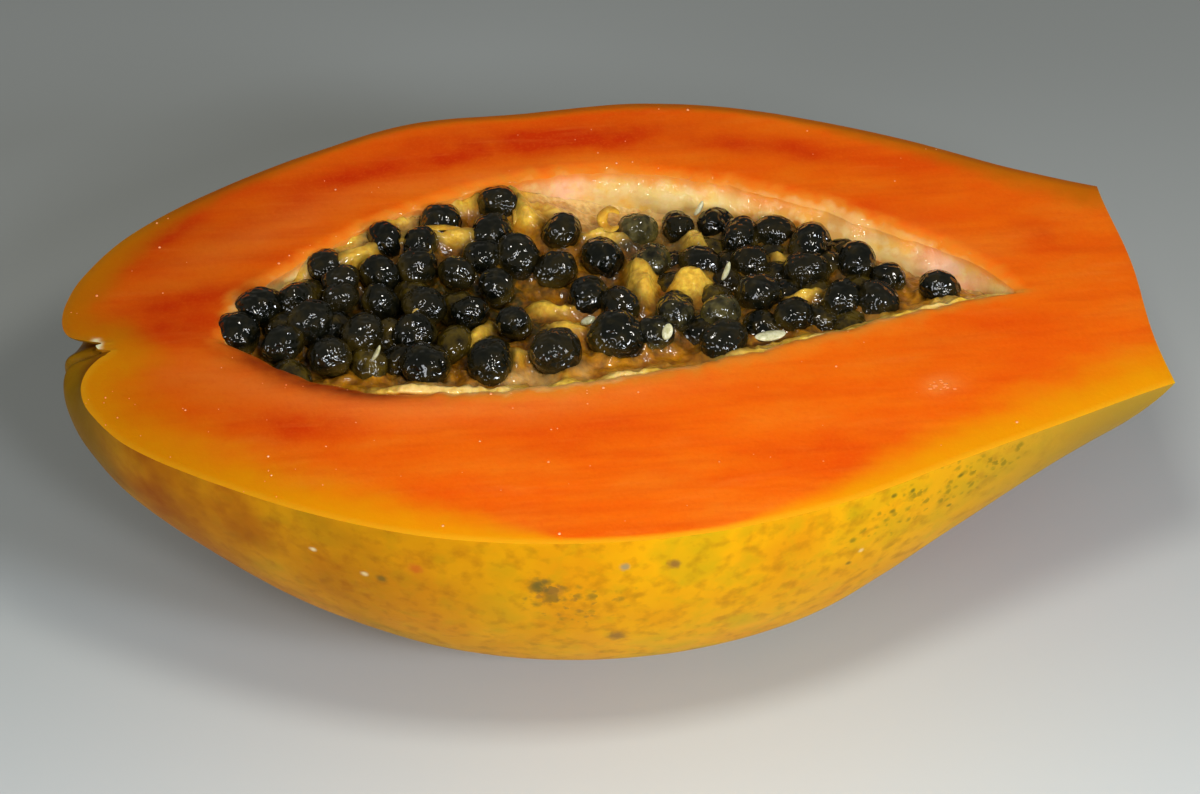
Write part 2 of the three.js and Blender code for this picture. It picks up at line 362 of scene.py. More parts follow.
wall_x = wall[..., 0] + CENTRE
is_front = smooth_step(wall_angle, math.pi * 0.3, math.pi * 0.7)
wall_drop = lip_drop(wall_x, is_front)
wall_depth = CUT_HEIGHT - wall[..., 2]
deepest = np.maximum(wall_depth.max(axis=1, keepdims=True), 1e-6)
wall[..., 2] = CUT_HEIGHT - wall_drop - wall_depth * np.clip(1 - wall_drop / deepest, 0, 1)
pits = bumps(wall, WALL_BUMPS) * smooth_step(wall_depth, 0.3, 3)
torn = within(wall_x, *TORN_STRETCH)
ragged_rim = bumps(wall * [1, 0, 0], RIM_BUMPS) * (1 - smooth_step(wall_depth, 0, TORN_DEPTH)) * torn
lean = BACK_LEAN * bell(wall_x, *BACK_LEAN_PLACE) * within(wall_depth, *LEAN_DEPTHS) * (1 - is_front) * torn
wall[..., 1] += np.cos(wall_angle) * (pits + ragged_rim) - lean
wall[..., 2] += pits


def cut_grid(outline, rim, is_front):
    """Half of the cut face, from its outline to the rim of the cavity, and how far each point is from it."""
    u = (1 - np.cos(np.linspace(0, math.pi, CUT_STEPS + 1))) / 2
    points = outline[:, None] * (1 - u[:, None]) + rim[:, None] * u[:, None]
    to_rim = np.linalg.norm(points[..., :2] - rim[:, None, :2], axis=-1)
    drop = lip_drop(rim[:, :1] + CENTRE, is_front)
    width = LIP_WIDTH + SAG_WIDTH * (drop - LIP_DROP) / LIP_SAG
    lip = np.clip(1 - to_rim / width, 0, 1) ** 2
    inside = np.minimum(smooth_step(u, 0, 0.12), smooth_step(to_rim, 0, 3))
    points[..., 2] = CUT_HEIGHT + bumps(points * FLAT, CUT_BUMPS) * inside - drop * lip
    points[:, 0] = outline
    points[:, -1] = rim
    return points, to_rim


back_cut, back_to_rim = cut_grid(back_outline, wall[:, 0], 0)
front_cut, front_to_rim = cut_grid(front_outline, wall[:, -1], 1)

# The end of the neck, from the edge of the cut face down to the skin.
down = np.linspace(0, 1, NECK_STEPS + 1)[:, None, None]
neck = neck_edge * (1 - down) + skin[-1] * down
neck[..., 0] -= behind_knife(neck)
neck[0] = neck_edge
neck[-1] = skin[-1]

# How far each point of the flesh lies from the skin.
skin_points = np.concatenate([skin[::2, ::2].reshape(-1, 3), skin[:, 0], skin[:, -1]])
skin_tree = kdtree.KDTree(len(skin_points))
for i, point in enumerate(skin_points):
    skin_tree.insert(point, i)
skin_tree.balance()


def from_skin(points):
    return np.array([skin_tree.find(p)[2] for p in points.reshape(-1, 3)]).reshape(points.shape[:-1])


# Under the rind the flesh is still yellow. The band is widest towards both ends of the front edge.
BACK_BAND = np.array([[0, 11], [8, 8], [20, 4], [40, 2.4], [110, 2.4], [132, 5.5], [156, 8]])
FRONT_BAND = np.array([
    [0, 10], [12, 12], [42, 11], [56, 8], [68, 1.6], [90, 1.4], [100, 4], [112, 9], [130, 12], [156, 13],
])

# Riper, redder patches of flesh, those along the back edge and at the blossom end partly painted shade, and
# pale ones: place from the blossom end and the middle line, half length, half width, turn in degrees,
# strength. The same holds for the wall and the seam.
RIPE_AND_SHADE_PATCHES = [
    (16, 25.3, 8, 2.2, 38, 1), (18.4, 9.3, 11, 3, 16, 0.95), (17, 3, 8, 2.6, 6, 0.9),
    (33.2, -19.5, 9, 4.2, -8, 0.85), (57.9, 38.8, 26, 2.6, 8, 0.9), (84, 40.5, 14, 2.2, -4, 0.5),
    (110.7, 36.3, 5, 2.4, -20, 0.85), (101.9, 38.4, 6, 2.2, -14, 0.8), (112, 24, 16, 2.4, -22, 0.5),
    (143.2, 12.6, 5, 4, -40, 0.6), (108.9, -29.8, 9, 4.5, 12, 0.4), (72, -24, 12, 5, 0, 0.35),
    (128, -10, 9, 4, 10, 0.3), (38, 33, 22, 3, 30, 0.5), (72, 43.5, 20, 2.8, 0, 0.9),
]
PALE_AND_GLOSS_PATCHES = [
    (38.9, -14.7, 12, 3.6, -10, 0.9), (57, -18, 18, 3.6, -3, 0.8), (24, -8, 12, 4, -14, 0.7),
    (75, -16, 16, 3, 3, 0.6), (30, 24, 16, 3.6, 30, 0.6), (62, 34, 20, 1.8, 6, 0.5),
    # The strong small patch at 123.5 is a painted glossy highlight.
    (123.5, -19.5, 2.8, 1.8, 15, 1.6), (120, 16, 14, 3.2, -24, 0.6),
]
ORANGE_WALL = [
    (104.5, 28, 5, 1.6, -24, 0.9), (109.5, 22.6, 5, 1.8, -30, 1), (114, 16.6, 2, 2.6, -30, 0.9),
    (103.5, 24.5, 4, 1.4, -30, 0.8), (125.6, 13.4, 5, 1.3, -34, 0.9), (133.5, 7.6, 3, 1.5, -50, 0.7),
    (65, 32, 9, 4, 10, 1), (44, 23, 5, 3, 38, 0.6),
]
LOW_ORANGE = 0.8  # towards the neck the wall turns orange below the rim
# Pink on the wall: the patch towards the neck is the lining's own colour, the two at the back rim are painted
# wet highlights.
PINK_AND_GLOSS_WALL = [(129, 9.6, 5, 2.6, -42, 1), (75, 34.5, 3.6, 1.8, 0, 0.9), (66, 33.5, 2.6, 1.6, 0, 0.7)]
SEAM_SHADOW_PATCHES = [  # painted shadow of the seeds on the flesh where the rim slopes in
    (29, -6, 8, 2.4, -36, 1), (41, -12.4, 9, 2.2, -16, 0.9), (27, 11, 4, 2, 40, 0.5),
]
CREAM_SEAM = [  # where the lining spreads out over the rim
    (66, -13, 20, 5, 0, 0.16), (116, -0.5, 6, 3, 10, 0.3), (117, 21.5, 15, 4.5, -36, 0.22),
    (24, 9.5, 6, 3, 36, 0.42),
]
CREAM_REACH = 4.5
BACK_SEAM = 2.6  # width of the seam where flesh turns to lining
FRONT_SEAM = 4.2
SEAM_SHARE = 0.58  # how far the seam turns to lining on the cut face
HALVES_BLEND = 5.0  # half width of the strip where the back half's looks turn into the front half's
NAVEL = (4.9, 0.3, 1.3)  # place from the blossom end, radius of its core and of its edge


def flesh_fields(points):
    x, y = along_and_across(points)
    front = smooth_step(-y, -HALVES_BLEND, HALVES_BLEND)
    navel = np.hypot(x - NAVEL[0], 0.5 * y) + 0.5 * relief(points, 0.9, 2.0)
    return {
        "from_skin": from_skin(points),
        "band": np.interp(x, *FRONT_BAND.T) * front + np.interp(x, *BACK_BAND.T) * (1 - front),
        "ripe": patches(RIPE_AND_SHADE_PATCHES, x, y),
        "pale": patches(PALE_AND_GLOSS_PATCHES, x, y),
        "ochre": (1 - front) * (0.6 + 0.4 * smooth_step(x, 6, 24)),
        "dark_end": 1 - smooth_step(x, 2, 58),
        "navel": 1 - smooth_step(navel, NAVEL[1], NAVEL[2]),
        "browned_seam": patches(SEAM_SHADOW_PATCHES, x, y),
    }


def cream_share(x, y):
    return np.minimum(1 - SEAM_SHARE, patches(CREAM_SEAM, x, y))


def lining_seam(points, to_rim, width):
    """How far the cut face turns to lining beside the cavity."""
    x, y = along_and_across(points)
    cream = cream_share(x, y)
    reach = to_rim - CREAM_REACH * cream + bumps(points * FLAT, SEAM_BUMPS)
    seam = (SEAM_SHARE + cream) * (1 - smooth_step(reach, -0.6, width))
    return seam * (1 - np.minimum(1, patches(SEAM_SHADOW_PATCHES, x, y)))


back_fields = flesh_fields(back_cut) | {"lining": lining_seam(back_cut, back_to_rim, BACK_SEAM)}
front_fields = flesh_fields(front_cut) | {"lining": lining_seam(front_cut, front_to_rim, FRONT_SEAM)}
wall_x, wall_y = along_and_across(wall)
wall_share = SEAM_SHARE + cream_share(wall_x, wall_y)
low_orange = smooth_step(wall_depth + relief(wall, 3.0, 6.0), 3.0, 5.0) * smooth_step(wall_x, 88, 104)
inner = smooth_step(wall_depth + 0.8 * relief(wall, 2.2, 3.0), 0.2, 2.2)
wall_fields = {
    "from_skin": 20.0,
    "band": 1.0,
    "lining": wall_share + (1 - wall_share) * inner,
    "browned_seam": patches(SEAM_SHADOW_PATCHES, wall_x, wall_y),
    "orange_wall": patches(ORANGE_WALL, wall_x, wall_y) + LOW_ORANGE * low_orange,
    "pink_wall": patches(PINK_AND_GLOSS_WALL, wall_x, wall_y),
}

# Weathering of the rind. Its patches lie at millimetres from the blossom end and above the table.
SPECKLED = [(69, 37, 9, 6, 0, 1.0), (64.3, 41.6, 3, 3, 0, 0.8), (85, 30, 16, 10, 0, 0.3)]
FRECKLED = [(116, 45, 14, 6, 20, 1.0), (130, 47, 8, 3, 30, 0.8), (20, 20, 10, 14, 0, 0.4)]
skin_x, skin_y = along_and_across(skin)
skin_z = skin[..., 2]
skin_depth = CUT_HEIGHT - skin_z
front_skin = smooth_step(angle, math.pi * 0.45, math.pi * 0.62)
skin_fields = {
    "crease": groove_at(skin_x, np.hypot(skin_y, skin_depth), angle) / GROOVE_DEPTH,
    "browned": np.clip(1.25 - skin_x / 62, 0, 1) + 0.25 * smooth_step(skin_depth, 28, 48),
    "dull_gold": smooth_step(skin_x, 112, 152),
    "olive_tip": 1 - smooth_step(skin_x + 2.0 * relief(skin, 4.0, 8.0), 2, 12),
    "speckled": patches(SPECKLED, skin_x, skin_z) * (0.35 + 0.65 * front_skin),
    "freckled": patches(FRECKLED, skin_x, skin_z) * (0.5 + 0.5 * front_skin),
}

# Rind of a ripe papaya: smooth and thin, waxy by nature, so it has a soft broad shine.
# Golden yellow that turns brownish orange towards the blossom end, partly painted shade there and low on the
# rind, with freckles and healed scars.
RIND_GOLD = "#eaa602"
RIND_ORANGE = "#e09202"
RIND_BROWN = "#8c4402"
RIND_GREEN = "#b89c0a"
RIND_DULL = "#a98326"
RIND_OLIVE = "#74580c"
FRECKLE = "#6f6413"
SCAR = "#8b5f2a"
GREY_SCAR = "#8c8668"
RED_SCAR = "#c4501a"
BLOTCH = "#5d5420"
CREASE_SHADE = "#6b2405"
PALE_FLECK = "#e6cf9a"
MARKS = [  # place from the blossom end, height, radius in millimetres, colour, strength
    (64.3, 41.6, 1.9, BLOTCH, 0.75), (66.5, 40.2, 1.6, SCAR, 0.5), (82.6, 44.7, 1.3, SCAR, 0.9),
    (75.3, 27.8, 1.9, SCAR, 0.85), (75.9, 45, 1, GREY_SCAR, 0.8), (47.7, 43.3, 1.3, RED_SCAR, 0.6),
    (43, 39.5, 1.2, BLOTCH, 0.7), (33.9, 42.7, 0.6, PALE_FLECK, 0.9), (40.7, 39.9, 0.7, PALE_FLECK, 0.8),
    (113.7, 48.1, 0.6, FRECKLE, 0.9), (116.6, 47.7, 0.5, FRECKLE, 0.9), (113.7, 44.9, 0.6, FRECKLE, 0.8),
    (123.8, 46.9, 0.6, FRECKLE, 0.9), (122.6, 40.8, 0.5, FRECKLE, 0.8), (108.1, 41.4, 0.7, FRECKLE, 0.7),
    (132.6, 48.7, 0.8, FRECKLE, 0.6), (107.9, 35.9, 0.6, BLOTCH, 0.8), (109.6, 38.2, 0.6, PALE_FLECK, 0.7),
]


def papaya_rind():
    material, add, place = new_material("papaya_rind")
    clouds = add("TexNoise", grain(place, 16, 3.0))
    colour = add("ValToRGB", [clouds], stops=[(0.3, RIND_ORANGE), (0.55, RIND_GOLD), (0.75, RIND_GREEN)])
    for size, seed, tint in ((3.2, 2.0, RIND_GREEN), (2.2, 7.0, RIND_BROWN)):
        stains = add("TexNoise", grain(place, size, 3.0) | {"W": seed}, noise_dimensions="4D")
        colour = add("Mix", [add("MapRange", [stains, 0.5, 0.72, 0, 0.4]), colour, tint])
    uneven = add("TexNoise", grain(place, 9, 4.0))
    broken = add("MapRange", [uneven, 0.3, 0.7, 0.55])
    # Brown at the blossom end and low on the rind, partly painted shade.
    for field, most, tint in (("browned", broken, RIND_BROWN), ("dull_gold", 1.0, RIND_DULL),
                              ("olive_tip", 0.75, RIND_OLIVE)):
        colour = tinted(add, colour, tint, field, most)

    # Freckles a third of a millimetre to one millimetre across, thick in some places.
    warp = add("TexNoise", grain(place, 0.9)).outputs["Color"]
    warped = add("VectorMath", [warp, (1.1 * MM, 1.1 * MM, 1.1 * MM), place], operation="MULTIPLY_ADD")
    for field, spacing, least, tint in (("speckled", 0.95, 0.30, SCAR), ("speckled", 1.9, 0.26, BLOTCH),
                                        ("freckled", 1.15, 0.14, FRECKLE)):
        dots = add("TexVoronoi", {"Vector": warped, "Scale": 1 / (spacing * MM)})
        chance = add("SeparateColor", [dots.outputs["Color"]])
        reach = add("Math", [field, chance, -0.25], operation="MULTIPLY_ADD")
        dot = add("Math", [reach, dots], operation="SUBTRACT")
        dot = add("MapRange", [dot, least - 0.42, least + 0.2, 0, 0.62], interpolation_type="SMOOTHSTEP")
        colour = add("Mix", [dot, colour, tint])

    # Healed marks on the front.
    ragged = add("TexNoise", grain(place, 1.1, 3.0))
    flat_place = add("VectorMath", [place, (1, 0, 1)], operation="MULTIPLY")
    is_front = add("Math", [add("SeparateXYZ", [place]).outputs["Y"], 0.0], operation="LESS_THAN")
    for x, z, radius, tint, strength in MARKS:
        middle = ((x - CENTRE) * MM, 0, z * MM)
        away = add("VectorMath", [flat_place, middle], operation="DISTANCE").outputs["Value"]
        away = add("Math", [ragged, radius * MM, away], operation="MULTIPLY_ADD")
        mark = add("MapRange", [away, 1.55 * radius * MM, 0.7 * radius * MM, 0, strength],
                   interpolation_type="SMOOTHSTEP")
        colour = tinted(add, colour, tint, mark, is_front)
    # Painted shade, dark red-brown, in the grooves of the blossom end.
    colour = add("Mix", [add("MapRange", ["crease", 0.45, 0.95, 0, 0.8]), colour, CREASE_SHADE])

    pores = add("TexNoise", grain(place, 0.7, 3.0))
    shader = add("BsdfPrincipled", {
        "Base Color": colour, "IOR": 1.44, "Specular IOR Level": 0.05,
        "Roughness": add("MapRange", [uneven, 0, 1, 0.36, 0.52]),
        "Normal": add("Bump", {"Height": pores, "Strength": 0.25, "Distance": 0.12 * MM}),
        "Subsurface Weight": 0.12, "Subsurface Radius": (1.0, 0.35, 0.05), "Subsurface Scale": 1.2 * MM})
    add("OutputMaterial", [shader])
    return material


# Ripe papaya flesh, freshly cut: moist and slightly see-through, so light sinks in and edges glow.
# It goes from yellow under the rind through orange to patches of coral red. The lining of the
# cavity is cream and finely grained.
RIPE_RED = "#dc3802"
DEEP_ORANGE = "#f35804"
ORANGE = "#f86c08"
WARM_ORANGE = "#f98018"
UNDER_RIND = "#f39c04"
# Darker copies of the band's colours for the back half: painted shade.
UNDER_RIND_SHADED = "#c66a06"
RIND_LINE = "#f5b11c"
RIND_LINE_SHADED = "#9a4e16"
CORAL_PALE = "#fa7f2c"
SEAM_GOLD = "#ea8422"
SEAM_SHADOW_RED = "#8a2a04"
NAVEL_PALE = "#efe0b4"
# Painted shade: darkens the flesh towards the blossom end.
PAINTED_SHADE_END = "#dcd4bc"  # multiplies the colour
LINING_CREAM = "#f0cd7e"
LINING_PALE = "#f6d896"
LINING_GOLD = "#f6c052"
LINING_ORANGE = "#e2841e"
LINING_PINK = "#ffc6a0"


def papaya_flesh():
    material, add, place = new_material("papaya_flesh")

    # Soft clouds and streaks, drawn out along the fruit as its fibres run.
    fibres, long_fibres = (add("VectorMath", [place, (squeeze, 1, 1)], operation="MULTIPLY")
                           for squeeze in (0.35, 0.12))
    clouds = add("TexNoise", grain(fibres, 9, 4.0) | {"Roughness": 0.55})
    colour = add("ValToRGB", [clouds], stops=[(0.3, DEEP_ORANGE), (0.5, ORANGE), (0.72, WARM_ORANGE)])
    soft = add("TexNoise", grain(place, 5, 3.0))
    uneven = add("MapRange", [soft, 0.3, 0.7, 0.5, 1.2])
    # Redder patches, partly painted shade, and pale ones, one of them a painted highlight.
    for field, tint in (("pale", CORAL_PALE), ("ripe", RIPE_RED)):
        colour = tinted(add, colour, tint, field, uneven)
    for size, seed, low, most, tint in ((3.2, 4.0, 0.5, 0.4, RIPE_RED), (1.7, 0.0, 0.56, 0.25, RIPE_RED),
                                        (1.3, 9.0, 0.58, 0.25, CORAL_PALE)):
        streaks = add("TexNoise", grain(long_fibres, size, 3.0) | {"W": seed}, noise_dimensions="4D")
        colour = add("Mix", [add("MapRange", [streaks, low, 0.75, 0, most]), colour, tint])
    for size, low, high, most, tint in ((0.5, 0.5, 0.75, 0.16, CORAL_PALE), (0.7, 0.48, 0.3, 0.1, RIPE_RED)):
        grains = add("TexNoise", grain(place, size))
        colour = add("Mix", [add("MapRange", [grains, low, high, 0, most]), colour, tint])

    # The yellow under the rind, in a band whose width differs, and the thin line of the rind itself. On the
    # back half both are darker copies: painted shade.
    depth = add("Math", [soft, 0.5, add("Math", ["from_skin", "band"], operation="DIVIDE")],
                operation="MULTIPLY_ADD")
    for reach, low, high, most, tint, back_tint in (
            (depth, 1.25, 0.3, 1.0, UNDER_RIND, UNDER_RIND_SHADED),
            ("from_skin", 1.5, 0.2, 0.7, RIND_LINE, RIND_LINE_SHADED)):
        amount = add("MapRange", [reach, low, high, 0, most], interpolation_type="SMOOTHSTEP")
        colour = add("Mix", [amount, colour, add("Mix", ["ochre", tint, back_tint])])
    # Painted shade: the flesh is darkened towards the blossom end.
    colour = add("Mix", ["dark_end", colour, PAINTED_SHADE_END], blend_type="MULTIPLY")

    # The seam and the lining of the cavity, the painted seam shadow and the navel.
    lining = add("Mix", ["orange_wall", LINING_CREAM, LINING_ORANGE])
    # Pink, partly painted wet highlights on the back rim.
    lining = add("Mix", ["pink_wall", lining, LINING_PINK])
    for size, low, high, most, tint in ((4.0, 0.5, 0.66, 0.7, LINING_GOLD),
                                        (1.4, 0.52, 0.75, 0.35, LINING_ORANGE),
                                        (2.2, 0.5, 0.36, 0.6, LINING_PALE)):
        threads = add("TexNoise", grain(place, size, 4.0))
        lining = add("Mix", [add("MapRange", [threads, low, high, 0, most]), lining, tint])
    for least, tint in ((0.0, SEAM_GOLD), (0.5, lining)):
        colour = add("Mix", [add("MapRange", ["lining", least, least + 0.5]), colour, tint])
    # Painted shadow of the seeds, dark red on the flesh at the rim.
    colour = tinted(add, colour, SEAM_SHADOW_RED, "browned_seam", uneven)
    colour = add("Mix", ["navel", colour, NAVEL_PALE])

    cells = add("TexNoise", grain(place, 0.6, 3.0))
    film = add("TexNoise", grain(place, 0.8, 1.0))
    shader = add("BsdfPrincipled", {
        "Base Color": colour, "Roughness": 0.42, "IOR": 1.38, "Specular IOR Level": 0.08,
        "Normal": add("Bump", {"Height": cells, "Strength": 0.35, "Distance": 0.12 * MM}),
        "Coat Weight": add("MapRange", ["lining", 0.3, 0.8, 0, 0.7]), "Coat Roughness": 0.06,
        "Coat Normal": add("Bump", {"Height": film, "Strength": 1.0, "Distance": 0.5 * MM}),
        "Subsurface Weight": 0.3, "Subsurface Radius": (1.0, 0.3, 0.06), "Subsurface Scale": 2.0 * MM})
    add("OutputMaterial", [shader])
    return material


fruit_half = build_piece("flesh_and_rind", [
    (skin, 0, skin_fields),
    (back_cut, 1, back_fields),
    (front_cut, 1, front_fields),
    (neck, 1, flesh_fields(neck)),
    (wall, 1, wall_fields),
], [papaya_rind(), papaya_flesh()], soft_angle=38)
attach(fruit_half, "root")
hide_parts("papaya_half")


# ---- Places of the seeds -------------------------------------------------------------------------
# Seeds sit in strings on strands that grow from the wall, so they lie in rows with gaps between.
# Each one is wrapped in its own wet sack and rests half sunk in the pulp.

PULP_LEVEL = -3.4
PULP_FALL = 0.11
FALL_START = 55.0
FALL_END = 90.0
PULP_WAVE = 0.6
WAVE_ALONG = 6.5
WAVE_ACROSS = 5.5
WAVE_SKEW = 17.0
SEED_LENGTH = 7.5
SEED_WIDTH = 6.6
SEED_HEIGHT = 6.2
SEED_SPREAD = 0.12
SEED_RISE = 1.5
SEED_JITTER = 0.25
SEED_TILT = 0.3
FIRST_DRAW = 20
DRAW_FACTOR = 16807
DRAW_MODULUS = 2147483647
STRINGS = [  # first x and y, last x and y, bow, number of seeds, their share of the full size
    (25.2, 4.3, 37.8, -3.2, -0.4, 3, 0.86), (28, 8.8, 50.1, 1.8, -2.4, 4, 0.9),
    (33.6, 9.6, 64.6, 1.7, 2.8, 6, 0.87), (40.3, 13.3, 62.9, 10.6, 3.4, 5, 0.87),
    (38.3, 18, 64.5, 30, 0.4, 4, 0.83), (52.4, 20.4, 73.4, 23.6, 1.2, 3, 0.9),
    (61.3, 17.7, 71.8, 14.8, 1.6, 3, 0.94), (76.1, 8, 84.6, -1.8, 1.6, 3, 0.92),
    (79, 17, 100.6, 14.6, -0.6, 4, 0.97), (51.3, -5.9, 79.1, -2.8, -2, 4, 1.08),
    (85, 25.1, 97, 26, 0.6, 3, 0.88), (99.8, 21.2, 110, 17.2, 2.6, 3, 0.92),
    (100.6, 5, 116.2, 12.1, 2.2, 3, 0.94), (87.8, 1.7, 94.6, 1.2, 0, 2, 0.96),
    (94.5, -5, 104.7, 0.2, 0, 2, 0.97), (112.7, 3.6, 118, 2.4, 0, 2, 0.88),
    (119.9, 8, 127.4, 4.8, 0, 2, 0.78),
]


def drawer(first):
    """Numbers between 0 and 1 that come out the same each time."""
    state = first
    while True:
        state = state * DRAW_FACTOR % DRAW_MODULUS
        yield state / DRAW_MODULUS


draw = drawer(FIRST_DRAW)


def stray(reach):
    """The next number, between minus and plus reach."""
    return reach * (2 * next(draw) - 1)


def pulp_height(x, y):
    along = x + CENTRE
    across = y - MIDDLE_LINE
    wave = PULP_WAVE * np.sin(along / WAVE_ALONG) * np.cos(across / WAVE_ACROSS + along / WAVE_SKEW)
    fall = PULP_FALL * np.maximum(0, across) * smooth_step(along, FALL_START, FALL_END)
    return CUT_HEIGHT + PULP_LEVEL - fall + wave


seed_places = []
seed_sizes = []
for x0, y0, x1, y1, bow, number, size in STRINGS:
    for t in np.linspace(0, 1, number):
        seed_x = x0 + (x1 - x0) * t + stray(SEED_JITTER) - CENTRE
        seed_y = y0 + (y1 - y0) * t + bow * math.sin(math.pi * t) + stray(SEED_JITTER) + MIDDLE_LINE
        seed_z = pulp_height(seed_x, seed_y) + SEED_RISE + stray(SEED_JITTER)
        seed_places.append((seed_x, seed_y, seed_z))
        seed_sizes.append(size)
seed_shapes = [
    (size * (1 + stray(SEED_SPREAD)), stray(SEED_TILT), math.pi * next(draw)) for size in seed_sizes
]


# ---- Pulp ----------------------------------------------------------------------------------------
# Soft golden pulp and jelly that fills the cavity up to the seeds and clings to the wall.
# It is wet, folded and torn, cream along the front wall and saffron between the seeds.

PULP_GAP = -0.3  # it clings to the wall, a little way into its pits
PULP_ENDS = (0.012, 0.985)  # of the cavity's length
PULP_ROWS = 300
PULP_COLUMNS = 110
PULP_SIDES = 24
CLUMP = (46.0, 5.0, 19.0, 9.5, 0)  # where seeds lie two deep, so the pulp is lower
CLUMP_SINK = 2.2
BED_SINK = 0.9  # of the pulp between the seeds below its height at the strands
PULP_FOLDS = [  # golden folds that stand up between the seeds
    (83.8, 10.8, 1.9, 4.6, 0, 3.8), (91, 9.4, 2.8, 3.4, -20, 3.6), (93.2, 20.6, 1.6, 3.2, 8, 3.6),
    (105, 15, 2, 2.2, 0, 1.5), (42.6, 18.6, 3.6, 1.2, 22, 3.6), (50.4, 21.6, 4.4, 1.2, 6, 3.4),
    (58.4, 22, 2.6, 1.1, 6, 3), (70.5, 6.6, 4.4, 2.2, -22, 1.7), (72.5, 1.2, 4, 2.2, -14, 1.4),
    (59.4, 1.4, 1.8, 3.6, -30, 2.2), (64.6, -5, 1.8, 2.6, 0, 1.5), (44.6, -4.2, 2, 2.4, 0, 1.5),
    (68.4, 27.6, 2, 3.6, 14, 2.6), (72.6, 29.2, 2.8, 2.2, -10, 1.6), (79.6, 22.6, 3.4, 1.2, 8, 2.4),
    (108, 5.4, 3.4, 1.2, 14, 2.2),
]
FOLD_SHARE = 1.4
PULP_CREASES = [  # squeeze along and across, size, depth, seed
    (0.6, 1, 4.2, 0.8, 5.0), (1, 0.7, 1.9, 0.4, 9.0),
]
PULP_GRAINS = [(1.1, 0.35, 8.0)]
FOLD_TOP = 3.7  # folds that would stand higher lie over, so they end flat
OLIVE_AND_SHADE_BEDS = [  # where the jelly of many seeds runs together, dark and nearly clear, with painted shade between the seeds
    (*CLUMP, 1.8), (60, 15, 9, 8, 0, 1.1), (104, 9, 15, 10, 12, 1.2),
    (92, 21, 10, 5, 0, 0.9), (88, 0, 8, 4, 0, 0.9), (80, 12, 3, 5, 0, 0.8),
    (65.6, 4.4, 2.4, 3.6, 0, 0.9), (68.8, 1.7, 2.6, 2.2, 0, 0.9), (81, 24.5, 2.4, 2.4, 0, 1),
    (84, 21, 4, 2, 0, 0.7),
]
EDGE_TUCK = 0.6  # at the front the pulp ends a little below the rim
EDGE_WIDTH = 1.0
COLLAR_HEIGHT = 0.9
COLLAR_WIDTH = 0.9
FRONT_LIP = 3.1
FRONT_REACH = 3.4
FRONT_LIP_STARTS = (36, 52)
BACK_LIP = 2.2
BACK_REACH = 2.4
BACK_LIP_LEAST = 0.4
BACK_LIP_BUMPS = [(5.5, 1.6, 7.0)]
BACK_LIP_STARTS = (24, 32)
BACK_LIP_FALL = 0.8  # share of its height that it loses between these places
BACK_LIP_FALLS = (66, 74)
SEED_SHADE_REACH = 1.9  # how far the dark of a seed shows through the jelly beside it, with its painted shadow on the pulp


def pulp_top(points, to_front, to_back):
    """Height of the pulp with its folds, its lip at the wall and a collar round each seed, how far
    each point stands out, and how close it is to a seed."""
    x, y = points[..., 0], points[..., 1]
    along, across = along_and_across(points)
    level = pulp_height(x, y) - BED_SINK - CLUMP_SINK * np.minimum(1, patches([(*CLUMP, 1.5)], along, across))
    climb = np.maximum(BACK_LIP_LEAST, BACK_LIP + bumps(points * [1, 0, 0], BACK_LIP_BUMPS))
    climb *= (1 - BACK_LIP_FALL * smooth_step(along, *BACK_LIP_FALLS)) * smooth_step(along, *BACK_LIP_STARTS)
    lip = FRONT_LIP * bell(to_front, 0, FRONT_REACH) * smooth_step(along, *FRONT_LIP_STARTS)
    lip += climb * bell(to_back, 0, BACK_REACH)
    creases = sum(
        depth * (1 - 2 * np.abs(relief(points * [squeeze_x, squeeze_y, 0], size, seed)))
        for squeeze_x, squeeze_y, size, depth, seed in PULP_CREASES
    ) + bumps(points * FLAT, PULP_GRAINS)
    stands_out = lip + np.minimum(FOLD_TOP, FOLD_SHARE * patches(PULP_FOLDS, along, across)) + creases
    top = level + stands_out
    beside_seed = np.zeros_like(top)
    for (seed_x, seed_y, _), (scale, _, _) in zip(seed_places, seed_shapes):
        away = np.hypot(x - seed_x, y - seed_y) - 0.5 * SEED_WIDTH * scale
        collar = COLLAR_HEIGHT * bell(away, 0, COLLAR_WIDTH)
        top += collar / (1 + 0.6 * np.maximum(0, top - CUT_HEIGHT + 1))
        beside_seed = np.maximum(beside_seed, 1 - smooth_step(away, -0.2, SEED_SHADE_REACH))
    highest = CUT_HEIGHT - 0.15 - EDGE_TUCK * bell(to_front, 0, EDGE_WIDTH)
    return np.minimum(top, highest), stands_out, beside_seed


pulp_t = np.linspace(*PULP_ENDS, PULP_ROWS + 1)
back_rim, front_rim = (section_point(CAVITY, pulp_t, a, CAVITY_RIDGE, shrink=PULP_GAP) for a in (0, math.pi))
half_width = (back_rim[:, 1:2] - front_rim[:, 1:2]) / 2
middle_y = (back_rim[:, 1:2] + front_rim[:, 1:2]) / 2
pulp_deep = np.maximum(LEAST_REACH, along_curve(CAVITY, pulp_t)[:, 3:] - PULP_GAP)

